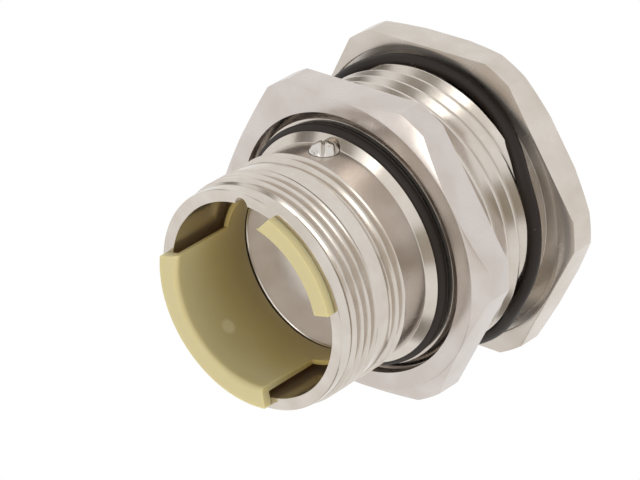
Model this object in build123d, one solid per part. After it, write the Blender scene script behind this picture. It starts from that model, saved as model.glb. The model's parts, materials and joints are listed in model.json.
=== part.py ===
from build123d import *
from math import cos, radians, sin, sqrt, tan
import os

# Panel feed-through housing of a circular connector, in millimetres.
# +Z is the mating direction, and the origin is the centre of the rear hex flange's flat back.
# The shell is one turned and milled piece of nickel-plated brass. A plastic sleeve lines its mouth,
# two rubber rings seal it, and a thin hex nut clamps it in a round hole of a panel.

# Lengths along the axis, from the back to the mouth
flange_thickness = 3.3
relief_length = 1.0
panel_thread_length = 11.75
seal_groove_width = 1.35
collar_length = 0.7
neck_length = 3.3
mating_thread_length = 7.6
pilot_length = 1.3

# Outside radii of the shell
relief_radius = 13.0
panel_thread_radius = 14.15
panel_thread_depth = 0.76
panel_thread_lead = 1.4
panel_thread_nose = 0.85
mating_thread_radius = 11.5
pilot_radius = mating_thread_radius - 0.25
neck_radius = mating_thread_radius - 0.4
collar_radius = mating_thread_radius + 0.5
seal_groove_depth = 0.75
seal_floor_radius = collar_radius - seal_groove_depth
rim_edge = 0.12

# Relief band that splits the mating thread into two stretches
band_radius = mating_thread_radius - 0.2
band_width = 1.75
band_from_neck = 2.2

# Flange ring, and the stepped groove it lies in
flange_ring_cord = 1.57
flange_ring_play = 0.1
flange_ring_bore_radius = relief_radius + flange_ring_play
groove_step_radius = flange_ring_bore_radius + flange_ring_cord + flange_ring_play
groove_step_width = 0.58
groove_radius = groove_step_radius + groove_step_width
groove_depth = 1.0
groove_step_depth = 0.45

# Hex flange around the groove
groove_lip = 0.35
flange_across_flats = 2 * (groove_radius + groove_lip)
flange_corner_cut = 0.86
flange_turned_radius = flange_across_flats / sqrt(3) - flange_corner_cut
flange_chamfer_overlap = 0.23
flange_chamfer_radius = flange_across_flats / 2 + flange_chamfer_overlap
flange_chamfer_angle = 30

# Bores
mouth_wall = 1.5
mouth_bore_radius = mating_thread_radius - mouth_wall
mouth_bore_depth = 9.4
sleeve_shoulder = 1.06
barrel_bore_radius = mouth_bore_radius - sleeve_shoulder
insert_bore_radius = 10.2
insert_bore_depth = 12.3
bore_edge = 0.3
barrel_bore_edge = 0.12
key_notch_radius = 0.75
key_notch_depth = 2.0
key_notch_angle = -28.7

# Index pin in the neck, against the collar
pin_radius = 1.45
pin_angle = -31
pin_above_collar_top = 0.9
pin_seat_depth = 1.35
pin_root_radius = neck_radius - pin_seat_depth
pin_side_radius = neck_radius + 0.25
pin_crown = 0.65
pin_clearance = 0.02

# Plastic sleeve: a seat at its root, a thin tube, and a lip on each tongue between the two windows
sleeve_root_wall = 1.0
sleeve_mouth_wall = 1.3
sleeve_clearance = 0.05
sleeve_end_gap = 0.3
sleeve_mouth_radius = mouth_bore_radius - sleeve_clearance - sleeve_mouth_wall
sleeve_seat_length = 1.2
plug_wall_gap = 0.65
lip_radius = pilot_radius - 0.45
lip_thickness = 1.0
lip_edge = 0.12
window_depth = 6.3
key_window_angle = -1.2
key_window_apex = 4.7
key_window_span_angle = 150
plain_window_angle = 204.4
plain_window_apex = 0.5
plain_window_span_angle = 96

# Panel nut
nut_wall = 1.18
nut_across_flats = 2 * (panel_thread_radius + nut_wall)
nut_corner_cut = 0.84
nut_turned_radius = nut_across_flats / sqrt(3) - nut_corner_cut
nut_thickness = 3.64
nut_face_inset = 0.08
nut_face_radius = nut_across_flats / 2 - nut_face_inset
nut_chamfer_angle = 24.7
nut_above_thread_top = 0.33
nut_bore_clearance = 0.05
nut_mouth_edge = 0.35

# How the rubber rings lie: the mating ring in the seal groove, and the loose flange ring leaning
cord_sides = 8
mating_ring_side_play = 0.1
mating_ring_cord = seal_groove_width - mating_ring_side_play
mating_ring_stretch_gap = 0.03
flange_ring_tilt_angle = 0.85
flange_ring_lean_angle = -3
flange_ring_bed_gap = 0.1

# How far a cutter runs past the surface it opens
cut_overrun = 1

# Heights that follow from the lengths
flange_top = flange_thickness
panel_thread_base = flange_top + relief_length
panel_thread_top = panel_thread_base + panel_thread_length
collar_base = panel_thread_top + seal_groove_width
collar_top = collar_base + collar_length
neck_top = collar_top + neck_length
mating_thread_top = neck_top + mating_thread_length
rim_top = mating_thread_top + pilot_length


def turned(points):
    """Solid of revolution about Z from (radius, height) points."""
    face = make_face(Polyline([(r, 0, z) for r, z in points], close=True))
    return revolve(face, Axis.Z)


def hexagon_prism(across_flats, bottom, height):
    """Upright hexagon with two corners on the X axis."""
    outline = RegularPolygon(across_flats / sqrt(3), 6)
    return Pos(0, 0, bottom) * extrude(outline, height)


def hex_flange():
    """Rear flange: a turned disc with a chamfered back, milled to a hexagon."""
    chamfer_rise = (flange_turned_radius - flange_chamfer_radius) * tan(radians(flange_chamfer_angle))
    disc = turned([
        (0, 0),
        (flange_chamfer_radius, 0),
        (flange_turned_radius, chamfer_rise),
        (flange_turned_radius, flange_thickness),
        (0, flange_thickness),
    ])
    return disc & hexagon_prism(flange_across_flats, 0, flange_thickness)


def flange_groove():
    """Stepped ring groove in the flange's front face, outside the relief."""
    return turned([
        (relief_radius, flange_top - groove_depth),
        (groove_step_radius, flange_top - groove_depth),
        (groove_step_radius, flange_top - groove_step_depth),
        (groove_radius, flange_top - groove_step_depth),
        (groove_radius, flange_top + cut_overrun),
        (relief_radius, flange_top + cut_overrun),
    ])


def barrel():
    """Everything of the shell in front of the flange, as one turned solid."""
    band_base = neck_top + band_from_neck
    nose_radius = panel_thread_radius - panel_thread_lead
    return turned([
        (0, flange_top - groove_depth),
        (relief_radius, flange_top - groove_depth),
        (relief_radius, panel_thread_base),
        (panel_thread_radius - panel_thread_depth, panel_thread_base),
        (panel_thread_radius, panel_thread_base + panel_thread_depth),
        (panel_thread_radius, panel_thread_top - panel_thread_nose - panel_thread_lead),
        (nose_radius, panel_thread_top - panel_thread_nose),
        (nose_radius, panel_thread_top),
        (seal_floor_radius, panel_thread_top),
        (seal_floor_radius, collar_base),
        (collar_radius, collar_base),
        (neck_radius, collar_top),
        (neck_radius, neck_top),
        (mating_thread_radius, neck_top),
        (mating_thread_radius, band_base),
        (band_radius, band_base),
        (band_radius, band_base + band_width),
        (mating_thread_radius, band_base + band_width),
        (mating_thread_radius, mating_thread_top),
        (pilot_radius, mating_thread_top),
        (pilot_radius, rim_top - rim_edge),
        (pilot_radius - rim_edge, rim_top),
        (0, rim_top),
    ])


def bores():
    """The mouth for the sleeve, the barrel bore, and the wider bore for the contact insert."""
    mouth_floor = rim_top - mouth_bore_depth
    return turned([
        (0, -cut_overrun),
        (insert_bore_radius + bore_edge, -cut_overrun),
        (insert_bore_radius + bore_edge, 0),
        (insert_bore_radius, bore_edge),
        (insert_bore_radius, insert_bore_depth),
        (barrel_bore_radius, insert_bore_depth),
        (barrel_bore_radius, mouth_floor - barrel_bore_edge),
        (barrel_bore_radius + barrel_bore_edge, mouth_floor),
        (mouth_bore_radius, mouth_floor),
        (mouth_bore_radius, rim_top + cut_overrun),
        (0, rim_top + cut_overrun),
    ])


def key_notch():
    """Half-round keyway in the mouth's inner edge."""
    x = mouth_bore_radius * cos(radians(key_notch_angle))
    y = mouth_bore_radius * sin(radians(key_notch_angle))
    notch = extrude(Circle(key_notch_radius), key_notch_depth + cut_overrun)
    return Pos(x, y, rim_top - key_notch_depth) * notch


def on_pin_axis(solid):
    """Lays a solid built along +Z onto the index pin's radial axis."""
    return Rot(0, 0, pin_angle) * Pos(0, 0, collar_top + pin_above_collar_top) * Rot(0, 90, 0) * solid


def pin_hole():
    length = collar_radius - pin_root_radius + cut_overrun
    return on_pin_axis(Pos(0, 0, pin_root_radius) * extrude(Circle(pin_radius + pin_clearance), length))


def make_housing_shell():
    solid = hex_flange() - flange_groove() + barrel()
    return solid - bores() - key_notch() - pin_hole()


def make_index_pin():
    """Short round pin with a domed head, pressed into the neck beside the collar."""
    root = pin_root_radius + pin_clearance
    dome_radius = (pin_radius**2 + pin_crown**2) / (2 * pin_crown)
    stock = Pos(0, 0, root) * extrude(Circle(pin_radius), pin_side_radius + pin_crown - root)
    above_sides = extrude(Circle(pin_radius + cut_overrun), pin_crown + cut_overrun)
    above_sides = Pos(0, 0, pin_side_radius) * above_sides
    dome = Pos(0, 0, pin_side_radius + pin_crown - dome_radius) * Sphere(dome_radius)
    return on_pin_axis(stock - (above_sides - dome))


def sleeve_ring():
    """Seat, tapered tube and lip of the sleeve, all the way round."""
    seat_radius = mouth_bore_radius - sleeve_clearance
    tube_radius = mouth_bore_radius - plug_wall_gap
    bottom = rim_top - mouth_bore_depth + sleeve_end_gap
    return turned([
        (seat_radius - sleeve_root_wall, bottom),
        (seat_radius, bottom),
        (seat_radius, bottom + sleeve_seat_length),
        (tube_radius, bottom + sleeve_seat_length),
        (tube_radius, rim_top),
        (lip_radius, rim_top),
        (lip_radius, rim_top + lip_thickness - lip_edge),
        (lip_radius - lip_edge, rim_top + lip_thickness),
        (sleeve_mouth_radius + lip_edge, rim_top + lip_thickness),
        (sleeve_mouth_radius, rim_top + lip_thickness - lip_edge),
        (sleeve_mouth_radius, rim_top),
    ])


def sleeve_window(angle, apex, span):
    """Wedge-shaped cutter for a window: its apex lies off the axis, so its sides are nearly parallel."""
    reach = 2 * lip_radius
    half_width = reach * tan(radians(span / 2))
    outline = Polyline((apex, 0), (apex + reach, half_width), (apex + reach, -half_width), close=True)
    height = window_depth + lip_thickness + cut_overrun
    return Rot(0, 0, angle) * Pos(0, 0, rim_top - window_depth) * extrude(make_face(outline), height)


def make_insulating_sleeve():
    """Sleeve with two tongues, which are what the two windows leave of it."""
    solid = sleeve_ring()
    solid -= sleeve_window(key_window_angle, key_window_apex, key_window_span_angle)
    solid -= sleeve_window(plain_window_angle, plain_window_apex, plain_window_span_angle)
    return solid


def make_panel_nut():
    """Thin hex nut: flat back, chamfered front, plain bore over the thread's crests."""
    bore = panel_thread_radius + nut_bore_clearance
    chamfer_drop = (nut_turned_radius - nut_face_radius) * tan(radians(nut_chamfer_angle))
    blank = turned([
        (bore, 0),
        (nut_turned_radius, 0),
        (nut_turned_radius, nut_thickness - chamfer_drop),
        (nut_face_radius, nut_thickness),
        (bore + nut_mouth_edge, nut_thickness),
        (bore, nut_thickness - nut_mouth_edge),
    ])
    bottom = panel_thread_top + nut_above_thread_top - nut_thickness
    return Pos(0, 0, bottom) * (blank & hexagon_prism(nut_across_flats, 0, nut_thickness))


def rubber_ring(bore_radius, cord):
    """O-ring centred on the origin, its round cord kept light with a few flats."""
    section = Plane.XZ * Pos(bore_radius + cord / 2, 0) * RegularPolygon(cord / 2, cord_sides)
    return revolve(section, Axis.Z)


def make_mating_o_ring():
    middle = (panel_thread_top + collar_base) / 2
    return Pos(0, 0, middle) * rubber_ring(seal_floor_radius + mating_ring_stretch_gap, mating_ring_cord)


def make_flange_o_ring():
    """Loose ring that leans: one side lies in the groove, the other stands proud of it."""
    ring = rubber_ring(flange_ring_bore_radius, flange_ring_cord)
    reach = (flange_ring_bore_radius + flange_ring_cord / 2) * sin(radians(flange_ring_tilt_angle))
    height = flange_top - groove_depth + flange_ring_bed_gap + flange_ring_cord / 2 + reach
    lean = Rot(0, 0, flange_ring_lean_angle) * Rot(0, flange_ring_tilt_angle, 0)
    return Pos(0, 0, height) * lean * ring


parts = {
    "housing_shell": make_housing_shell(),
    "index_pin": make_index_pin(),
    "insulating_sleeve": make_insulating_sleeve(),
    "panel_nut": make_panel_nut(),
    "mating_o_ring": make_mating_o_ring(),
    "flange_o_ring": make_flange_o_ring(),
}

os.makedirs("parts", exist_ok=True)
for name, solid in parts.items():
    export_step(solid, f"parts/{name}.step")
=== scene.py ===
# %% [markdown]
# # Connector housing: a turned, nickel-plated panel feed-through
# The real object is a turned brass barrel with a milled hex flange, plated with nickel. A thin hex nut
# runs on its coarse thread, two rubber rings seal it, and a plastic sleeve lines its mouth.
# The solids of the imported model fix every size. This script dresses them: threads, small edge
# bevels and finishes are too fine for the solids, and they are what makes a turned part look real.
# Lengths below are in millimetres, as on a workshop drawing, and each mesh is scaled to metres once.

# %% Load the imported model
import bmesh
import bpy
import json
import numpy as np
from math import acos, atan2, cos, degrees, radians, sin, sqrt, tan
from mathutils import Matrix, Vector

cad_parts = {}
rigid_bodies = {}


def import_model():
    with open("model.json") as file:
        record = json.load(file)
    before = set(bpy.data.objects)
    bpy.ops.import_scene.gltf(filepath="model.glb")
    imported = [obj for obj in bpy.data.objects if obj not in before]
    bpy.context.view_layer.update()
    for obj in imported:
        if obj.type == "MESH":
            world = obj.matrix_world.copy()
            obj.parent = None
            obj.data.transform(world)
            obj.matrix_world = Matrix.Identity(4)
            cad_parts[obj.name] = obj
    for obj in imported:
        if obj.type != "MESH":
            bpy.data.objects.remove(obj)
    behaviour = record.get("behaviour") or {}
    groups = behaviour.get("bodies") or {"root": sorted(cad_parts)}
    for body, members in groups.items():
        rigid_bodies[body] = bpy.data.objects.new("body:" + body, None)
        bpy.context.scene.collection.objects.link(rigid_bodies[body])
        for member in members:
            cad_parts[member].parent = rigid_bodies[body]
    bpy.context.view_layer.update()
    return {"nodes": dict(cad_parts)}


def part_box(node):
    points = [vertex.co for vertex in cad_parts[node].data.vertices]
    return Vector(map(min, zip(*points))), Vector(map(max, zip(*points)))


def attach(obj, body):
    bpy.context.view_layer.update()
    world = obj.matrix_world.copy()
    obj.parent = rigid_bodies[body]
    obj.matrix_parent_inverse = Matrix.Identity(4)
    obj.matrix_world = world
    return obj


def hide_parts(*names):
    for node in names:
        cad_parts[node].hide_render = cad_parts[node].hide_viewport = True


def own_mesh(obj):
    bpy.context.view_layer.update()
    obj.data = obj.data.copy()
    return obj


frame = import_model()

MM = 0.001
print("nodes:", sorted(frame["nodes"]))

# %% [markdown]
# ## Sizes from the frame
# Sizes that the solids already hold are read back from their boxes, so the two models can't drift
# apart. Only what a box can't tell, such as the thread's form, is typed here, each value once.

# %% Read the boxes of the nodes
def box_mm(node):
    low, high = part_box(node)
    return low / MM, high / MM


shell_low, shell_high = box_mm("housing_shell")
nut_low, nut_high = box_mm("panel_nut")
mating_ring_low, mating_ring_high = box_mm("mating_o_ring")
sleeve_low, sleeve_high = box_mm("insulating_sleeve")

rim_top = shell_high.z
flange_across_flats = shell_high.y - shell_low.y
flange_top = 3.3  # no box ends here, so it is typed
nut_across_flats = nut_high.y - nut_low.y
print("rim at", round(rim_top, 2), "flange across flats", round(flange_across_flats, 2))

# %% [markdown]
# ## Camera
# The photograph looks at the mouth from above one side, with the camera rolled so that the barrel
# points to the lower left. The camera could be aimed with a track constraint and a roll, but its
# three axes were fitted to the edges of the part in the photograph, so they are set directly. A long
# lens is used for small products, because it keeps the hexagons nearly true.

# %% Place the camera
camera_right = Vector((-0.43239, -0.61753, -0.65703))
camera_up = Vector((0.89690, -0.21962, -0.38383))
camera_back = Vector((0.09273, -0.75526, 0.64883))
camera_place = Vector((36.996, -287.654, 266.497)) * MM

camera_data = bpy.data.cameras.new("product_camera")
camera_data.sensor_width = 36
camera_data.lens = 225
camera_data.clip_start = 0.01
camera = bpy.data.objects.new("product_camera", camera_data)
bpy.context.scene.collection.objects.link(camera)
turn = Matrix((camera_right, camera_up, camera_back)).transposed().to_4x4()
camera.matrix_world = Matrix.Translation(camera_place) @ turn
bpy.context.scene.camera = camera
print("camera with a", camera_data.lens, "mm lens,", round(camera_place.length, 3), "m from the flange")

# %% [markdown]
# ## Materials: shared helpers
# Each real surface is a metal, a rubber or a plastic with its own finish. The finishes could be
# painted as images, but patterns worked out from real sizes stay sharp at any distance. Colours are
# picked as sRGB hex values, as in a paint program, and turned to the linear values that the renderer
# works with. One helper adds a node with its settings and links, so a material reads as a short recipe.

# %% Colour and node helpers
def linear(hex_colour):
    """Linear RGBA from an sRGB hex value such as "#d4ccbf"."""
    channels = [int(hex_colour[i:i + 2], 16) / 255 for i in (1, 3, 5)]
    return [c / 12.92 if c <= 0.04045 else ((c + 0.055) / 1.055) ** 2.4 for c in channels] + [1]


def add_node(tree, kind, settings=None, **inputs):
    """Adds a node; an input is a value or an output socket, named with underscores, or i0, i1 by place."""
    node = tree.nodes.new(kind)
    for key, value in (settings or {}).items():
        setattr(node, key, value)
    for key, value in inputs.items():
        numbered = key[0] == "i" and key[1:].isdigit()
        socket = node.inputs[int(key[1:]) if numbered else key.replace("_", " ")]
        if isinstance(value, bpy.types.NodeSocket):
            tree.links.new(value, socket)
        else:
            socket.default_value = value
    return node


def new_material(name):
    """An empty node material with its output, ready for a shader."""
    material = bpy.data.materials.new(name)
    material.use_nodes = True
    material.node_tree.nodes.clear()
    return material, material.node_tree


def set_ramp(ramp, stops):
    """Fills a colour ramp with (position, colour) stops."""
    elements = ramp.color_ramp.elements
    while len(elements) < len(stops):
        elements.new(0.5)
    for element, (position, colour) in zip(elements, stops):
        element.position = position
        element.color = colour


print("middle grey #808080 is", round(linear("#808080")[0], 3), "in linear light")

# %% [markdown]
# ## Floor and world
# The part was photographed on white paper in a white room. Plain white surfaces would need very
# strong light to look white in the render and would flood the part, so the floor and the world are
# simply white where the camera or a reflection sees them. To ordinary light the floor is paper,
# which takes a soft shadow, and the world is a dim studio.

# %% Floor and world
def white_where_seen(tree):
    """One where a camera, transmission or glossy ray looks, and zero for ordinary light."""
    path = add_node(tree, "ShaderNodeLightPath")
    seen = add_node(tree, "ShaderNodeMath", {"operation": "MAXIMUM"},
                    i0=path.outputs["Is Camera Ray"], i1=path.outputs["Is Transmission Ray"])
    seen = add_node(tree, "ShaderNodeMath", {"operation": "MAXIMUM"},
                    i0=seen.outputs[0], i1=path.outputs["Is Glossy Ray"])
    return seen.outputs[0]


def make_floor():
    mesh = bpy.data.meshes.new("floor")
    reach, low = 3.0, -0.00002  # a hair below the flange, so that the two faces never coincide
    corners = [(-reach, -reach, low), (reach, -reach, low), (reach, reach, low), (-reach, reach, low)]
    mesh.from_pydata(corners, [], [(0, 1, 2, 3)])
    floor = bpy.data.objects.new("floor", mesh)
    bpy.context.scene.collection.objects.link(floor)
    material, tree = new_material("white_floor")
    paper = add_node(tree, "ShaderNodeBsdfDiffuse", Color=linear("#f4f2ef"))
    glow = add_node(tree, "ShaderNodeEmission", Color=(1, 1, 1, 1), Strength=1.0)
    mix = add_node(tree, "ShaderNodeMixShader", i0=white_where_seen(tree), i1=paper.outputs[0],
                   i2=glow.outputs[0])
    add_node(tree, "ShaderNodeOutputMaterial", Surface=mix.outputs[0])
    mesh.materials.append(material)
    print("floor", 2 * reach, "m wide")


def make_world():
    world = bpy.data.worlds.new("studio")
    bpy.context.scene.world = world
    world.use_nodes = True
    tree = world.node_tree
    tree.nodes.clear()
    studio = add_node(tree, "ShaderNodeBackground", Color=linear("#e6e3e1"), Strength=0.75)
    white = add_node(tree, "ShaderNodeBackground", Color=(1, 1, 1, 1), Strength=1.0)
    mix = add_node(tree, "ShaderNodeMixShader", i0=white_where_seen(tree), i1=studio.outputs[0],
                   i2=white.outputs[0])
    add_node(tree, "ShaderNodeOutputWorld", Surface=mix.outputs[0])


make_floor()
make_world()
bpy.context.scene.view_settings.view_transform = "Standard"

# %% [markdown]
# ## Lamps and cards
# Metal shows what stands round it, so a product photographer shapes it with soft boxes and with
# cards more than with the lamps' strength. Two soft boxes are mirrored and give the bright streaks
# along the barrel. Three more light the rubber, the plastic and the floor, and the metal doesn't
# mirror them. The grey cards are seen by reflections alone: each one darkens the faces that look
# its way, such as the nut's front or the flange. A picture of a studio wrapped round the part would
# do the same, but a lamp or a card can be moved and named by itself.

# %% Lamp and card helpers
def aim_at_part(holder, azimuth, elevation, distance):
    """Puts an object on a sphere round the part, with its +Z away from the part's middle."""
    around, up = radians(azimuth), radians(elevation)
    place = Vector((cos(around) * cos(up), sin(around) * cos(up), sin(up))) * distance
    holder.location = place + Vector((0, 0, rim_top * MM / 2))
    holder.rotation_euler = place.to_track_quat("Z", "Y").to_euler()


def soft_box(name, azimuth, elevation, distance, size, power, colour, mirrored):
    """A square area lamp aimed at the part, which metal mirrors or doesn't."""
    lamp = bpy.data.lights.new(name, "AREA")
    lamp.shape = "SQUARE"
    lamp.size = size
    lamp.energy = power
    lamp.color = linear(colour)[:3]
    holder = bpy.data.objects.new(name, lamp)
    bpy.context.scene.collection.objects.link(holder)
    holder.visible_glossy = mirrored
    aim_at_part(holder, azimuth, elevation, distance)


def grey_card(name, azimuth, elevation, width, height, colour):
    """A plain card that only reflections see, as a product photographer holds up to shape metal."""
    mesh = bpy.data.meshes.new(name)
    x, y = width / 2, height / 2
    mesh.from_pydata([(-x, -y, 0), (x, -y, 0), (x, y, 0), (-x, y, 0)], [], [(0, 1, 2, 3)])
    card = bpy.data.objects.new(name, mesh)
    bpy.context.scene.collection.objects.link(card)
    material, tree = new_material(name)
    paint = add_node(tree, "ShaderNodeEmission", Color=linear(colour), Strength=1.0)
    add_node(tree, "ShaderNodeOutputMaterial", Surface=paint.outputs[0])
    mesh.materials.append(material)
    card.visible_camera = False
    card.visible_diffuse = False
    card.visible_shadow = False
    card.visible_transmission = False
    aim_at_part(card, azimuth, elevation, 0.5)


# %% Place the lamps and cards
soft_box("key_box", -44, 71, 0.6, 0.22, 0.34, "#fffaf4", True)
soft_box("edge_box", -22, 52, 0.6, 0.14, 0.15, "#fffaf4", True)
soft_box("top_box", -60, 62, 0.6, 0.35, 0.8, "#ffffff", False)
soft_box("fill_box", 160, 35, 0.7, 0.5, 1.0, "#fff6ea", False)
soft_box("side_box", -150, 25, 0.7, 0.4, 0.8, "#fdf4f2", False)
grey_card("card_left_high", -126, 51, 0.22, 0.20, "#a39a8b")
grey_card("card_overhead", -122, 71, 0.22, 0.16, "#cbc3b6")
grey_card("card_left_low", -114, 6, 0.24, 0.12, "#6f6557")
grey_card("card_right", 4, 38, 0.15, 0.12, "#8d8579")
grey_card("card_right_low", 34, 18, 0.15, 0.09, "#6d6862")
grey_card("card_back", 125, 45, 0.12, 0.10, "#8f8980")
grey_card("card_back_low", 165, 19, 0.20, 0.12, "#8c867e")
cards = [name for name in bpy.data.objects.keys() if name.startswith("card")]
print("lamps:", len(bpy.data.lights), "and grey cards:", len(cards))

# %% [markdown]
# ## Nickel plate
# The barrel and the nut are brass under bright nickel. Nickel is a warm, slightly yellow-grey metal.
# Turning leaves rings round the axis, finer than a hair, which stretch each highlight along the
# barrel. Handling leaves faint clouds, where the plate is a little duller, and plating leaves pits.
# The rings could be an anisotropic shader, but drawn from the radius and the height of a point they
# follow every bore and face, because on a lathe all points with the same two values were cut
# together. Real feed marks are about 0.05 mm apart. That is too fine to show, so they are drawn at
# 0.16 mm on the barrel and 0.22 mm on the nut. Real pits are finer too, and are drawn at 0.35 mm.
# Metallic stays a little under 1, because the plate scatters some light evenly. The milled flange
# was not turned, so below its top the skin is satin: rougher, calmer and less of a mirror.

# %% Nickel materials
mirror_share = 0.94  # Metallic of the bright plate
satin_share = 0.72  # Metallic of the satin skin
satin_roughness = 0.07  # what the satin skin adds to the roughness
satin_calm = 0.75  # the part of the relief that the satin skin loses


def nickel_plate(name, light, dark, roughness, ring_spacing, ring_depth, satin_below=None):
    """Plated metal with turning rings, clouds and fine pits, and a satin skin below a height in mm."""
    material, tree = new_material(name)
    place = add_node(tree, "ShaderNodeTexCoord").outputs["Object"]
    split = add_node(tree, "ShaderNodeSeparateXYZ", Vector=place)
    flat = add_node(tree, "ShaderNodeCombineXYZ", X=split.outputs["X"], Y=split.outputs["Y"])
    radius = add_node(tree, "ShaderNodeVectorMath", {"operation": "LENGTH"}, i0=flat.outputs[0])
    cut = add_node(tree, "ShaderNodeCombineXYZ", X=radius.outputs["Value"], Y=split.outputs["Z"])
    rings = add_node(tree, "ShaderNodeTexNoise", {"noise_dimensions": "2D"}, Vector=cut.outputs[0],
                     Scale=1 / (ring_spacing * MM), Detail=1.0)
    clouds = add_node(tree, "ShaderNodeTexNoise", Vector=place, Scale=1 / (4 * MM), Detail=3.0)
    pits = add_node(tree, "ShaderNodeTexNoise", Vector=place, Scale=1 / (0.35 * MM), Detail=2.0)
    tint = add_node(tree, "ShaderNodeValToRGB", Fac=clouds.outputs["Fac"])
    set_ramp(tint, [(0.35, linear(dark)), (0.65, linear(light))])
    rough = add_node(tree, "ShaderNodeMapRange", Value=clouds.outputs["Fac"], From_Min=0.3, From_Max=0.7,
                     To_Min=roughness * 0.85, To_Max=roughness * 1.2)
    relief = add_node(tree, "ShaderNodeMath", {"operation": "MULTIPLY_ADD"},
                      i0=pits.outputs["Fac"], i1=0.05, i2=rings.outputs["Fac"])
    bump = add_node(tree, "ShaderNodeBump", Height=relief.outputs[0], Strength=0.5,
                    Distance=ring_depth * MM)
    plate = add_node(tree, "ShaderNodeBsdfPrincipled", Base_Color=tint.outputs["Color"],
                     Metallic=mirror_share, Roughness=rough.outputs[0], Normal=bump.outputs[0])
    if satin_below is not None:
        low = add_node(tree, "ShaderNodeMath", {"operation": "LESS_THAN"},
                       i0=split.outputs["Z"], i1=satin_below * MM)
        rougher = add_node(tree, "ShaderNodeMath", {"operation": "MULTIPLY_ADD"},
                           i0=low.outputs[0], i1=satin_roughness, i2=rough.outputs[0])
        metal = add_node(tree, "ShaderNodeMath", {"operation": "MULTIPLY_ADD"},
                         i0=low.outputs[0], i1=satin_share - mirror_share, i2=mirror_share)
        calm = add_node(tree, "ShaderNodeMath", {"operation": "MULTIPLY_ADD"},
                        i0=low.outputs[0], i1=-satin_calm, i2=1.0)
        smoother = add_node(tree, "ShaderNodeMath", {"operation": "MULTIPLY"},
                            i0=relief.outputs[0], i1=calm.outputs[0])
        tree.links.new(rougher.outputs[0], plate.inputs["Roughness"])
        tree.links.new(metal.outputs[0], plate.inputs["Metallic"])
        tree.links.new(smoother.outputs[0], bump.inputs["Height"])
    add_node(tree, "ShaderNodeOutputMaterial", Surface=plate.outputs[0])
    return material


turned_nickel = nickel_plate("turned_nickel_plate", "#d8d1c9", "#ccc3b8", 0.18, 0.16, 0.003,
                             satin_below=flange_top + 0.01)
milled_nickel = nickel_plate("milled_nickel_plate", "#d4ccc7", "#cac1ba", 0.24, 0.22, 0.0003)
polished_steel = nickel_plate("polished_steel", "#dedad4", "#d2cdc6", 0.24, 0.3, 0.002)
print("metals:", turned_nickel.name, milled_nickel.name, polished_steel.name)

# %% [markdown]
# ## Rubber
# The seals are black nitrile rubber, moulded and dusty. Carbon black makes it nearly black, with a
# warm cast, and its skin is matt with a weak sheen. Dust could be scattered as small pieces, but
# specks about 0.1 mm across are under a pixel, so a pattern of cells draws them, and a slower
# pattern leaves some stretches clean.

# %% Rubber material
def nitrile_rubber():
    material, tree = new_material("black_nitrile_rubber")
    place = add_node(tree, "ShaderNodeTexCoord").outputs["Object"]
    grain = add_node(tree, "ShaderNodeTexNoise", Vector=place, Scale=1 / (0.25 * MM), Detail=4.0)
    specks = add_node(tree, "ShaderNodeTexVoronoi", Vector=place, Scale=1 / (0.5 * MM))
    dust = add_node(tree, "ShaderNodeMapRange", Value=specks.outputs["Distance"], From_Min=0.06,
                    From_Max=0.14, To_Min=0.55, To_Max=0.0)
    chance = add_node(tree, "ShaderNodeTexNoise", Vector=place, Scale=1 / (1.7 * MM), Detail=1.0)
    some = add_node(tree, "ShaderNodeMapRange", Value=chance.outputs["Fac"], From_Min=0.52, From_Max=0.66)
    amount = add_node(tree, "ShaderNodeMath", {"operation": "MULTIPLY"},
                      i0=dust.outputs[0], i1=some.outputs[0])
    colour = add_node(tree, "ShaderNodeMix", {"data_type": "RGBA"}, Factor=amount.outputs[0])
    colour.inputs[6].default_value = linear("#211913")
    colour.inputs[7].default_value = linear("#8f8a84")
    bump = add_node(tree, "ShaderNodeBump", Height=grain.outputs["Fac"], Strength=0.6, Distance=0.02 * MM)
    skin = add_node(tree, "ShaderNodeBsdfPrincipled", Base_Color=colour.outputs[2], Roughness=0.5,
                    IOR=1.5, Specular_IOR_Level=0.32, Normal=bump.outputs[0])
    add_node(tree, "ShaderNodeOutputMaterial", Surface=skin.outputs[0])
    return material


black_rubber = nitrile_rubber()
print("rubber:", black_rubber.name)

# %% [markdown]
# ## Olive plastic
# The sleeve is a moulded engineering plastic of a natural olive-yellow. Light enters it about a
# millimetre, so thin edges glow. That could be left to a plain colour, but the lips would look
# painted. Moulding leaves a satin skin, faint flow clouds some 5 mm wide, and a pale round mark
# where the gate was cut off, on the wide tongue's inner wall. The wall grows darker over the 8 mm
# below the rim, as it does in the photograph, because less light reaches the bottom of the bore.

# %% Plastic material
gate_mark = (-2.11, 8.49, 27.21)


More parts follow.
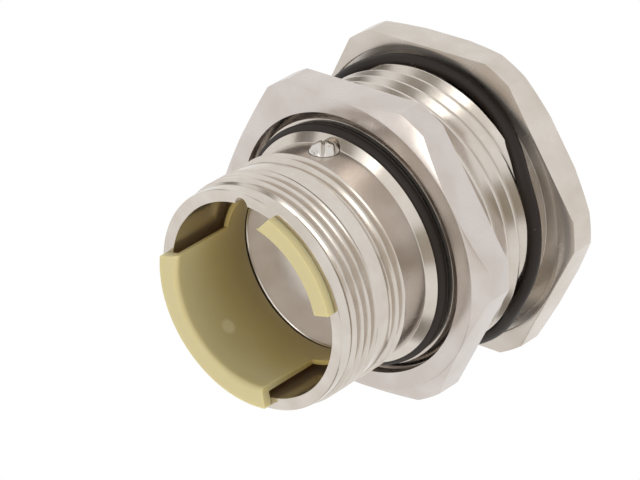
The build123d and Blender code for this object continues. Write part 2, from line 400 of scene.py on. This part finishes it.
def moulded_plastic():
    material, tree = new_material("natural_olive_plastic")
    place = add_node(tree, "ShaderNodeTexCoord").outputs["Object"]
    flow = add_node(tree, "ShaderNodeTexNoise", Vector=place, Scale=1 / (5 * MM), Detail=1.0)
    grain = add_node(tree, "ShaderNodeTexNoise", Vector=place, Scale=1 / (0.3 * MM), Detail=2.0)
    split = add_node(tree, "ShaderNodeSeparateXYZ", Vector=place)
    # Painted shade: the colour is darkened over the 8 mm below the rim, where less light reaches down the
    # bore; the flow clouds add real random tone on top.
    depth = add_node(tree, "ShaderNodeMapRange", Value=split.outputs["Z"], From_Min=(rim_top - 8) * MM,
                     From_Max=rim_top * MM)
    flow_and_painted_shade = add_node(tree, "ShaderNodeMath", {"operation": "MULTIPLY_ADD"},
                      i0=flow.outputs["Fac"], i1=0.2, i2=depth.outputs[0])
    tint = add_node(tree, "ShaderNodeValToRGB", Fac=flow_and_painted_shade.outputs[0])
    # The ramp runs from painted shade deep in the bore to the sleeve's own pale olive at the rim.
    set_ramp(tint, [(0.0, linear("#a48f55")), (0.5, linear("#b9a86c")), (1.0, linear("#cbc191"))])
    gate = add_node(tree, "ShaderNodeVectorMath", {"operation": "DISTANCE"},
                    i0=place, i1=Vector(gate_mark) * MM)
    blush = add_node(tree, "ShaderNodeMapRange", {"interpolation_type": "SMOOTHSTEP"},
                     Value=gate.outputs["Value"], From_Min=0.45 * MM, From_Max=0.95 * MM,
                     To_Min=0.55, To_Max=0.0)
    colour = add_node(tree, "ShaderNodeMix", {"data_type": "RGBA"}, Factor=blush.outputs[0])
    tree.links.new(tint.outputs["Color"], colour.inputs[6])
    colour.inputs[7].default_value = linear("#e6dcb0")
    bump = add_node(tree, "ShaderNodeBump", Height=grain.outputs["Fac"], Strength=0.15, Distance=0.01 * MM)
    body = add_node(tree, "ShaderNodeBsdfPrincipled", Base_Color=colour.outputs[2], Roughness=0.36,
                    IOR=1.55, Subsurface_Weight=0.5, Subsurface_Scale=1.3 * MM, Normal=bump.outputs[0])
    body.inputs["Subsurface Radius"].default_value = (1.0, 0.8, 0.35)
    add_node(tree, "ShaderNodeOutputMaterial", Surface=body.outputs[0])
    return material


olive_plastic = moulded_plastic()
print("plastic:", olive_plastic.name)

# %% [markdown]
# ## Meshes from rings
# Every piece was turned, or milled from what was turned, so each is a stack of rings about one axis.
# A spin modifier would make plain rings alone. Here a ring holds a radius and a height for every
# column round the axis, and they may change from column to column, which turns a circle into a
# hexagon or a plain cylinder into a screw thread. Corners are softened row by row, because a sharp
# edge catches no light and looks drawn.

# %% Ring helpers
def columns_for_hexagon(across_flats, turned_radius, flat_steps=40, corner_steps=10):
    """Angles in degrees from 0 to 360, with columns exactly where flats meet the turned corners."""
    corner_half = 30 - degrees(acos(across_flats / 2 / turned_radius))
    angles = []
    for corner in range(0, 360, 60):
        ends = [corner - corner_half, corner + corner_half, corner + 60 - corner_half]
        angles += list(np.linspace(ends[0], ends[1], corner_steps, endpoint=False))
        angles += list(np.linspace(ends[1], ends[2], flat_steps, endpoint=False))
    return np.array(angles + [angles[0] + 360])


def hexagon_radius(across_flats, angles):
    """Distance from the axis to a hexagon with corners at 0, 60, 120... degrees."""
    from_flat = np.radians((angles % 60) - 30)
    return across_flats / 2 / np.cos(from_flat)


def softened(rows, count, steps=3):
    """Rings from (radius, height, softness) corners, with each corner cut to a small curve."""
    points = [np.array([np.broadcast_to(r, count), np.broadcast_to(z, count)], float) for r, z, _ in rows]
    rings = [points[0]]
    for i in range(1, len(rows) - 1):
        before, here, after = points[i - 1] - points[i], points[i], points[i + 1] - points[i]
        long_before = np.hypot(*before) + 1e-9
        long_after = np.hypot(*after) + 1e-9
        reach = np.minimum(rows[i][2], 0.45 * np.minimum(long_before, long_after))
        start = here + before / long_before * reach
        end = here + after / long_after * reach
        for t in np.linspace(0, 1, steps + 1):
            rings.append((1 - t) ** 2 * start + 2 * t * (1 - t) * here + t ** 2 * end)
    return rings + [points[-1]]


def mesh_from_rings(name, rings, angles, close_loop):
    """Stitches the rings into quads, merging points that coincide."""
    rings = list(rings) + ([rings[0]] if close_loop else [])
    radius = np.array([ring[0] for ring in rings])
    height = np.array([ring[1] for ring in rings])
    around = np.radians(angles)
    points = np.stack([radius * np.cos(around), radius * np.sin(around), height], axis=-1)
    rows, columns = radius.shape
    keys = np.round(points.reshape(-1, 3) * 1e5).astype(np.int64)
    _, first, number = np.unique(keys, axis=0, return_index=True, return_inverse=True)
    number = number.reshape(rows, columns)
    quads = np.stack([number[:-1, :-1], number[:-1, 1:], number[1:, 1:], number[1:, :-1]], axis=-1)
    faces = [list(dict.fromkeys(quad)) for quad in quads.reshape(-1, 4).tolist()]
    mesh = bpy.data.meshes.new(name)
    mesh.from_pydata((points.reshape(-1, 3)[first] * MM).tolist(), [], [f for f in faces if len(f) > 2])
    mesh.validate()
    return mesh


sample_angles = columns_for_hexagon(flange_across_flats, flange_across_flats / sqrt(3) - 1)
print("a hexagon has", len(sample_angles), "columns round the axis")

# %% [markdown]
# ## Pieces
# A real piece is one lump of one material that comes off the bench whole. Each mesh becomes one
# object, smooth up to its sharp edges, and is tied to the solid that it dresses. Holes that cross
# the turned form are drilled on the real piece, so they are cut with bars here too.

# %% Piece helpers
def finish_piece(name, mesh, material, body, nodes, sharp=20):
    """Makes the object, smooths it up to sharp edges, and ties it to its CAD node."""
    mesh.update()
    mesh.shade_smooth()
    mesh.set_sharp_from_angle(angle=radians(sharp))
    piece = bpy.data.objects.new(name, mesh)
    bpy.context.scene.collection.objects.link(piece)
    piece.data.materials.clear()
    piece.data.materials.append(material)
    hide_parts(*nodes)
    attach(piece, body)
    print(name, len(mesh.vertices), "points", len(mesh.polygons), "faces")
    return piece


def cut_away(mesh, cutters):
    """Cuts solids out of a mesh with an exact boolean and returns the new mesh."""
    collection = bpy.context.scene.collection
    blank = bpy.data.objects.new("blank", mesh)
    collection.objects.link(blank)
    tools = []
    for cutter in cutters:
        tool = bpy.data.objects.new("tool", cutter)
        collection.objects.link(tool)
        tools.append(tool)
        modifier = blank.modifiers.new("cut", "BOOLEAN")
        modifier.operation = "DIFFERENCE"
        modifier.solver = "EXACT"
        modifier.object = tool
    bpy.context.view_layer.update()
    seen = blank.evaluated_get(bpy.context.evaluated_depsgraph_get())
    result = bpy.data.meshes.new_from_object(seen)
    for scrap in [blank] + tools:
        bpy.data.objects.remove(scrap)
    return result


def round_bar(radius, length, sides=48):
    """A closed cylinder along +Z from the origin, in millimetres."""
    bar = bmesh.new()
    bmesh.ops.create_cone(bar, cap_ends=True, segments=sides, radius1=radius, radius2=radius, depth=length)
    bmesh.ops.translate(bar, verts=bar.verts, vec=(0, 0, length / 2))
    mesh = bpy.data.meshes.new("bar")
    bar.to_mesh(mesh)
    bar.free()
    return mesh


# %% [markdown]
# ## Screw threads
# A thread is one groove wound round the barrel. It could be a bump pattern, but its outline would
# stay a straight line, or a screw modifier, but its ends would need cutting. Here the rings follow
# the helix: each one climbs a pitch in a turn, so a crest stays one clean line of points. At the
# ends of the thread the rings are held at its end plane, where they merge. The form is a few (part
# of the pitch, part of the depth) points. The mating thread has a rounded root, and the coarse
# panel thread a nearly sharp one.

# %% Thread helpers
mating_thread = {
    "pitch": 1.0,
    "crest": 11.5,
    "depth": 0.6,
    "crest_height": 27.7 + 68 / 360,
    "form": [(0.06, 0.0), (0.34, 0.88), (0.42, 1.0), (0.58, 1.0), (0.66, 0.88), (0.94, 0.0)],
}
panel_thread = {
    "pitch": 1.5875,
    "crest": 14.15,
    "depth": 0.76,
    "crest_height": 11.3 + 1.5875 * 70 / 360,
    "form": [(0.04, 0.0), (0.07, 0.03), (0.45, 0.97), (0.5, 1.0), (0.55, 0.97), (0.93, 0.03), (0.96, 0.0)],
}


def thread_radius(thread, height, angles, extra=0.0):
    """Radius of a thread at a height, with the helix turned to each column's angle."""
    phase = (height - thread["crest_height"]) / thread["pitch"] - angles / 360
    places = [p for p, _ in thread["form"]]
    drops = [d for _, d in thread["form"]]
    depth = np.interp(phase % 1, [0.0] + places + [1.0], [0.0] + drops + [0.0])
    return thread["crest"] + extra - thread["depth"] * depth


def thread_rings(thread, bottom, top, angles, lead_bottom, lead_top, extra=0.0, least=0.0):
    """Rings of a thread between two heights, cut down by a 45 degree lead at each end."""
    pitch = thread["pitch"]
    first = int(np.floor((bottom - thread["crest_height"]) / pitch)) - 2
    last = int(np.ceil((top - thread["crest_height"]) / pitch)) + 1
    rings = []
    for turn_number in range(first, last + 1):
        for place, _ in thread["form"]:
            height = thread["crest_height"] + pitch * (turn_number + place + angles / 360)
            height = np.clip(height, bottom, top)
            radius = thread_radius(thread, height, angles, extra)
            radius = np.minimum(radius, lead_bottom + (height - bottom))
            radius = np.minimum(radius, lead_top + (top - height))
            rings.append(np.array([np.maximum(radius, least), height]))
    return rings


print("threads of", mating_thread["pitch"], "and", panel_thread["pitch"], "mm pitch")

# %% [markdown]
# ## Housing shell
# The shell is one piece of metal: hex flange, panel thread, seal groove, collar, neck, mating thread
# and mouth, with the bores behind. It could be joined from a tube, a plate and two threads, but one
# closed loop of rings over all of it gives the walls their real thickness, and no seam can open. The
# keyway and the hole of the index pin cross the rings, so they are cut afterwards.

# %% Sizes of the shell
flange_corner_radius = flange_across_flats / sqrt(3) - 0.86
flange_chamfer_radius = flange_across_flats / 2 + 0.23
flange_chamfer_slope = tan(radians(30))
groove_radius = flange_across_flats / 2 - 0.35
step_radius = groove_radius - 0.58
step_floor = flange_top - 0.45
groove_floor = flange_top - 1.0
relief_radius = 13.0
thread_bottom = 4.3
panel_root = panel_thread["crest"] - panel_thread["depth"]
thread_top = 16.05
nose_bottom = thread_top - 0.85
nose_radius = 12.75
seal_groove_radius = 11.25
collar_base = 17.4
collar_radius = 12.0
collar_top = 18.1
neck_radius = 11.1
neck_top = 21.4
band_bottom = 23.6
band_radius = 11.3
band_top = 25.35
mating_top = 29.0
pilot_radius = 11.25
insert_bore = 10.2
insert_bore_top = 12.3
barrel_bore = 8.94
mouth_bore = 10.0
mouth_floor = rim_top - 9.4
keyway_angle = -28.7
keyway_radius = 0.75
keyway_depth = 2.0
pin_angle = -31
pin_height = 19.0
pin_radius = 1.45
pin_clearance = 0.06
edge = 0.08
print("wall at the mouth", round(pilot_radius - mouth_bore, 2), "and at the neck",
      round(neck_radius - barrel_bore, 2))

# %% Profile of the shell
def shell_rings(angles):
    """The whole profile as one loop, from the rear bore over the outside and back through the mouth."""
    count = len(angles)
    hexagon = hexagon_radius(flange_across_flats, angles)
    face_edge = np.minimum(hexagon, flange_chamfer_radius)
    side = np.minimum(hexagon, flange_corner_radius)
    chamfer_top = (side - face_edge) * flange_chamfer_slope
    flange = softened([
        (insert_bore, 1.0, 0),
        (insert_bore, 0.3, 0.05),
        (insert_bore + 0.3, 0, 0.05),
        (face_edge, 0, edge),
        (side, chamfer_top, edge),
        (side, flange_top, edge),
        (groove_radius, flange_top, 0.06),
        (groove_radius, step_floor, 0.05),
        (step_radius, step_floor, 0.06),
        (step_radius, groove_floor, 0.05),
        (relief_radius, groove_floor, 0.1),
        (relief_radius, thread_bottom, 0.15),
        (13.3, thread_bottom, 0),
    ], count)
    panel = thread_rings(panel_thread, thread_bottom, nose_bottom, angles, panel_root, nose_radius)
    middle = softened([
        (nose_radius, nose_bottom, 0),
        (nose_radius, thread_top, 0.05),
        (seal_groove_radius, thread_top, 0.06),
        (seal_groove_radius, collar_base, 0.06),
        (collar_radius, collar_base, 0.05),
        (neck_radius, collar_top, 0.06),
        (neck_radius, neck_top, 0.04),
        (11.2, neck_top, 0),
    ], count)
    rear = thread_rings(mating_thread, neck_top, band_bottom, angles, 11.4, 11.35)
    band = softened([
        (11.25, band_bottom, 0),
        (band_radius, band_bottom, 0.03),
        (band_radius, band_top, 0.03),
        (11.25, band_top, 0),
    ], count)
    front = thread_rings(mating_thread, band_top, mating_top, angles, 11.35, 11.2)
    mouth = softened([
        (11.2, mating_top, 0),
        (pilot_radius, mating_top + 0.05, 0.03),
        (pilot_radius, rim_top, 0.12),
        (mouth_bore, rim_top, 0.08),
        (mouth_bore, mouth_floor, 0.06),
        (barrel_bore + 0.12, mouth_floor, 0.03),
        (barrel_bore, mouth_floor - 0.12, 0.03),
        (barrel_bore, insert_bore_top, 0.05),
        (insert_bore, insert_bore_top, 0.08),
        (insert_bore, 1.0, 0),
    ], count)
    return flange + panel + middle + rear + band + front + mouth


# %% Drill the shell and finish it
def turned_to(mesh, angle, inward, height):
    """Lays a bar along the radius at an angle, starting at a distance from the axis."""
    lay = Matrix.Rotation(radians(angle), 4, "Z") @ Matrix.Translation((inward, 0, height))
    mesh.transform(Matrix.Scale(MM, 4) @ lay @ Matrix.Rotation(radians(90), 4, "Y"))
    return mesh


def stood_at(mesh, angle, radius, bottom):
    """Stands a bar parallel to the axis at an angle and a radius."""
    lay = Matrix.Rotation(radians(angle), 4, "Z") @ Matrix.Translation((radius, 0, bottom))
    mesh.transform(Matrix.Scale(MM, 4) @ lay)
    return mesh


angles = columns_for_hexagon(flange_across_flats, flange_corner_radius)
shell_mesh = mesh_from_rings("housing_shell_dressed", shell_rings(angles), angles, False)
keyway = stood_at(round_bar(keyway_radius, 4.0, 32), keyway_angle, mouth_bore, rim_top - keyway_depth)
pin_hole = turned_to(round_bar(pin_radius + pin_clearance, 4.0, 64), pin_angle, 9.75, pin_height)
shell_mesh = cut_away(shell_mesh, [keyway, pin_hole])
finish_piece("housing_shell_dressed", shell_mesh, turned_nickel, "housing", ["housing_shell"])

# %% [markdown]
# ## Panel nut
# The nut is a slice of hexagon bar, chamfered on one face, with the same coarse thread inside. It
# could have a plain hole, but its mouth shows where the thread starts. So its thread is made with
# the barrel's own helix, a little larger, and the two run in each other. The first millimetre of
# the mouth is plain, because a nut is bored out before it is tapped.

# %% Build the nut
nut_corner_radius = nut_across_flats / sqrt(3) - 0.84
nut_face_radius = nut_across_flats / 2 - 0.08
nut_chamfer_slope = tan(radians(24.7))
nut_bore = 13.5
nut_mouth_depth = 1.0
thread_clearance = 0.06
no_lead = 99  # larger than any radius, so the thread keeps its full height at its ends


def nut_rings(angles):
    """One closed loop: the lower face, the flats, the chamfered face, the plain mouth and the thread."""
    count = len(angles)
    bottom, top = nut_low.z, nut_high.z
    mouth_bottom = top - nut_mouth_depth
    hexagon = hexagon_radius(nut_across_flats, angles)
    side = np.minimum(hexagon, nut_corner_radius)
    side_top = top - np.maximum(side - nut_face_radius, 0) * nut_chamfer_slope
    open_below = np.maximum(thread_radius(panel_thread, bottom, angles, thread_clearance), nut_bore)
    outside = softened([
        (open_below, bottom, 0),
        (side, bottom, edge),
        (side, side_top, edge),
        (nut_face_radius, top, 0.08),
        (nut_bore, top, 0.03),
        (nut_bore, mouth_bottom, 0),
    ], count)
    inside = thread_rings(panel_thread, bottom, mouth_bottom, angles, no_lead, no_lead,
                          extra=thread_clearance, least=nut_bore)
    return outside + inside[::-1]


nut_angles = columns_for_hexagon(nut_across_flats, nut_corner_radius)
nut_mesh = mesh_from_rings("panel_nut_dressed", nut_rings(nut_angles), nut_angles, True)
finish_piece("panel_nut_dressed", nut_mesh, milled_nickel, "nut", ["panel_nut"])

# %% [markdown]
# ## Rubber rings
# An O-ring is a torus of rubber, moulded in two halves that leave a fine flash line round it. The
# mating ring sits squeezed in its groove. The flange ring is loose: it lies in the flange's groove on
# one side and leans up on the other, over a path read off the photograph as (angle, radius, height)
# points and smoothed. A torus mesh could be bent to it, but a section swept along the path keeps the
# cord round.

# %% Build the rings
flash_height = 0.012
flash_width = 0.06


def o_ring(name, around, radius, height, cord, node):
    """A round cord closed along a path, with a faint moulding flash line round its outside."""
    around = np.radians(around)
    path = np.stack([radius * np.cos(around), radius * np.sin(around), height + 0 * around], axis=-1)
    ahead = np.roll(path, -1, axis=0) - np.roll(path, 1, axis=0)
    ahead /= np.linalg.norm(ahead, axis=1)[:, None]
    outward = np.stack([np.cos(around), np.sin(around), 0 * around], axis=-1)
    outward -= ahead * (outward * ahead).sum(axis=1)[:, None]
    outward /= np.linalg.norm(outward, axis=1)[:, None]
    upward = np.cross(outward, ahead)
    steps = np.linspace(0, 2 * np.pi, 40, endpoint=False)
    reach = cord / 2 - flash_height + flash_height * np.exp(-(np.sin(steps / 2) / flash_width) ** 2)
    points = path[:, None] + outward[:, None] * (reach * np.cos(steps))[None, :, None]
    points += upward[:, None] * (reach * np.sin(steps))[None, :, None]
    number = np.arange(points.shape[0] * points.shape[1]).reshape(points.shape[:2])
    along, across = np.roll(number, -1, axis=0), np.roll(number, -1, axis=1)
    quads = np.stack([number, across, np.roll(across, -1, axis=0), along], axis=-1)
    mesh = bpy.data.meshes.new(name)
    mesh.from_pydata((points.reshape(-1, 3) * MM).tolist(), [], quads.reshape(-1, 4).tolist())
    return finish_piece(name, mesh, black_rubber, "housing", [node], sharp=60)


# %% Lay the rings in their places
around_ring = np.linspace(-180, 180, 240, endpoint=False)
mating_cord = mating_ring_high.z - mating_ring_low.z
o_ring("mating_o_ring_dressed", around_ring, mating_ring_high.x - mating_cord / 2,
       (mating_ring_high.z + mating_ring_low.z) / 2, mating_cord, "mating_o_ring")

flange_cord = 1.46
# Angle in degrees, radius and height of the middle of the cord
flange_ring_path = [
    (-148, 14.46, 7.3), (-140, 14.46, 6.6), (-128, 14.46, 6.1), (-111, 14.46, 5.78), (-96, 14.46, 5.72),
    (-88, 14.5, 5.2), (-83, 14.3, 4.64), (-78, 14.05, 4.14), (-68, 13.93, 3.6), (-50, 13.9, 3.28),
    (-30, 13.92, 3.5), (-22, 14.05, 3.9), (-18, 14.2, 4.16), (-14, 14.2, 4.44), (-10, 14.2, 4.7),
    (-5, 14.2, 5.0), (2, 14.2, 5.2), (10, 14.2, 5.25), (60, 14.4, 5.5), (150, 14.46, 5.6), (200, 14.46, 6.8),
]
angle_stops, radius_stops, height_stops = zip(*flange_ring_path)
nearby = around_ring + np.linspace(-5, 5, 11)[:, None]
flange_ring = o_ring("flange_o_ring_dressed", around_ring,
                     np.interp(nearby, angle_stops, radius_stops, period=360).mean(axis=0),
                     np.interp(nearby, angle_stops, height_stops, period=360).mean(axis=0),
                     flange_cord, "flange_o_ring")
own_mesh(flange_ring)

# %% [markdown]
# ## Index pin
# A short steel pin with a domed head, pressed into the neck beside the collar. It is a small turned
# piece of its own, laid along the radius. Its head could be a plain ball, but the photograph shows a
# dark seam across it with bright, uneven streaks beside it, so the dome carries a narrow groove and
# a slight ripple.

# %% Build the pin
pin_root = 9.8
pin_root_chamfer = 0.1
pin_side_top = 11.15
dome_height = 0.85
dome_rings = 24
seam_angle = 35.5
seam_depth = 0.28
seam_width = 0.13
ripple_depth = 0.04
ripples_per_mm = 9


def pin_rings(columns):
    """Rings of the pin, with a seam and a ripple across its head."""
    across = np.sin(np.radians(columns - seam_angle))
    dome_radius = (pin_radius ** 2 + dome_height ** 2) / (2 * dome_height)
    rows = [
        (0.0, pin_root, 0),
        (pin_radius - pin_root_chamfer, pin_root, 0.05),
        (pin_radius, pin_root + pin_root_chamfer, 0.05),
        (pin_radius, pin_side_top, 0.06),
    ]
    for part in np.linspace(0.96, 0, dome_rings):
        r = pin_radius * part
        seam = seam_depth * np.exp(-(r * across / seam_width) ** 2)
        ripple = ripple_depth * np.sin(r * across * ripples_per_mm + 1) * part
        dome = pin_side_top + dome_height - dome_radius + sqrt(dome_radius ** 2 - r ** 2)
        rows.append((r, dome - seam - ripple, 0.0))
    return softened(rows, len(columns), 4)


pin_columns = np.linspace(0, 360, 145)
pin_mesh = mesh_from_rings("index_pin_dressed", pin_rings(pin_columns), pin_columns, False)
pin_turn = Matrix.Rotation(radians(pin_angle), 4, "Z") @ Matrix.Translation((0, 0, pin_height * MM))
pin_mesh.transform(pin_turn @ Matrix.Rotation(radians(90), 4, "Y"))
finish_piece("index_pin_dressed", pin_mesh, polished_steel, "housing", ["index_pin"])

# %% [markdown]
# ## Insulating sleeve
# The sleeve is a thin moulded tube with a seat at its root, two windows, and a lip on each tongue
# between them. Each window is a wedge whose point lies off the axis, so its sides run nearly
# parallel. It could be cut from a tube with booleans, but their faces bevel badly. Here the sleeve is
# built from blocks of a polar grid: radius, angle and height. A block is plastic or air, and a face
# is made wherever the two meet. A bevel then rounds every edge, as moulding does, and the inner
# edge of the lips most of all.

# %% Sizes of the sleeve
sleeve_root = 8.95
sleeve_mouth = 8.65
tube_outer = 9.35
seat_outer = 9.95
lip_outer = sleeve_high.y
seat_top = sleeve_low.z + 1.2
window_floor = rim_top - 6.3
key_window = {"middle": -1.2, "apex": 4.7, "half_angle": 75}
plain_window = {"middle": 204.4, "apex": 0.5, "half_angle": 48}
lip_round = 0.55
lip_inner_edge = 8.8
moulded_round = 0.09
sharp_edge = radians(40)
print("sleeve stands", round(sleeve_high.z - rim_top, 2), "mm above the rim")

# %% Where the sleeve has plastic
def window_side(window, side, radius):
    """Angle at which a side of a window crosses a circle about the axis."""
    apex, half = window["apex"], radians(window["half_angle"])
    along = sqrt(radius ** 2 - (apex * sin(half)) ** 2) - apex * cos(half)
    return window["middle"] + side * degrees(atan2(along * sin(half), apex + along * cos(half)))


def sector_sides(sector, radius):
    """First and last angle of a sector: key window, wide tongue, plain window, narrow tongue."""
    stops = [window_side(key_window, -1, radius), window_side(key_window, 1, radius),
             window_side(plain_window, -1, radius), window_side(plain_window, 1, radius)]
    return (stops + [stops[0] + 360])[sector:sector + 2]


def is_plastic(layer, sector, storey):
    """Whether a block is plastic: layers go outwards, storeys go up to the lip."""
    if sector in (0, 2) and storey > 1:
        return False
    return [layer < 2, layer == 0, layer == 0, True][storey]


# %% Build the sleeve
def sharp_edges(mesh):
    """Edges whose two faces meet at more than the sharp angle."""
    return [e for e in mesh.edges if len(e.link_faces) == 2 and e.calc_face_angle() > sharp_edge]


def build_sleeve():
    """The sleeve's mesh: blocks of the grid first, then its rounded edges."""
    layers, storeys, steps = 3, 4, 40
    heights = [sleeve_low.z, seat_top, window_floor, rim_top, sleeve_high.z]
    columns = 4 * steps

    def solid(i, j, k):
        return 0 <= i < layers and 0 <= k < storeys and is_plastic(i, j % columns // steps, k)

    def grid_point(i, j, k):
        part = min((heights[k] - sleeve_low.z) / (rim_top - sleeve_low.z), 1)
        inner = sleeve_root + (sleeve_mouth - sleeve_root) * part
        radius = [inner, tube_outer, seat_outer, lip_outer][i]
        first, last = sector_sides(j // steps, radius)
        angle = radians(first + (last - first) * (j % steps) / steps)
        return Vector((radius * cos(angle), radius * sin(angle), heights[k])) * MM

    mesh = bmesh.new()
    corners = {}

    def corner(i, j, k):
        key = (i, j % columns, k)
        if key not in corners:
            corners[key] = mesh.verts.new(grid_point(*key))
        return corners[key]

    sides = [
        ((-1, 0, 0), [(0, 0, 0), (0, 0, 1), (0, 1, 1), (0, 1, 0)]),
        ((1, 0, 0), [(1, 0, 0), (1, 1, 0), (1, 1, 1), (1, 0, 1)]),
        ((0, -1, 0), [(0, 0, 0), (1, 0, 0), (1, 0, 1), (0, 0, 1)]),
        ((0, 1, 0), [(0, 1, 0), (0, 1, 1), (1, 1, 1), (1, 1, 0)]),
        ((0, 0, -1), [(0, 0, 0), (0, 1, 0), (1, 1, 0), (1, 0, 0)]),
        ((0, 0, 1), [(0, 0, 1), (1, 0, 1), (1, 1, 1), (0, 1, 1)]),
    ]
    for i in range(layers):
        for j in range(columns):
            for k in range(storeys):
                for (di, dj, dk), face in sides:
                    if solid(i, j, k) and not solid(i + di, j + dj, k + dk):
                        mesh.faces.new([corner(i + a, j + b, k + c) for a, b, c in face])
    bmesh.ops.recalc_face_normals(mesh, faces=mesh.faces)
    lip = [e for e in sharp_edges(mesh)
           if all(v.co.z > sleeve_high.z * MM - 1e-5 and v.co.xy.length < lip_inner_edge * MM
                  for v in e.verts)]
    bmesh.ops.bevel(mesh, geom=lip, offset=lip_round * MM, segments=6, profile=0.5, affect="EDGES")
    bmesh.ops.bevel(mesh, geom=sharp_edges(mesh), offset=moulded_round * MM, segments=3, profile=0.6,
                    affect="EDGES")
    result = bpy.data.meshes.new("insulating_sleeve_dressed")
    mesh.to_mesh(result)
    mesh.free()
    return result


finish_piece("insulating_sleeve_dressed", build_sleeve(), olive_plastic, "housing",
             ["insulating_sleeve"], sharp=40)
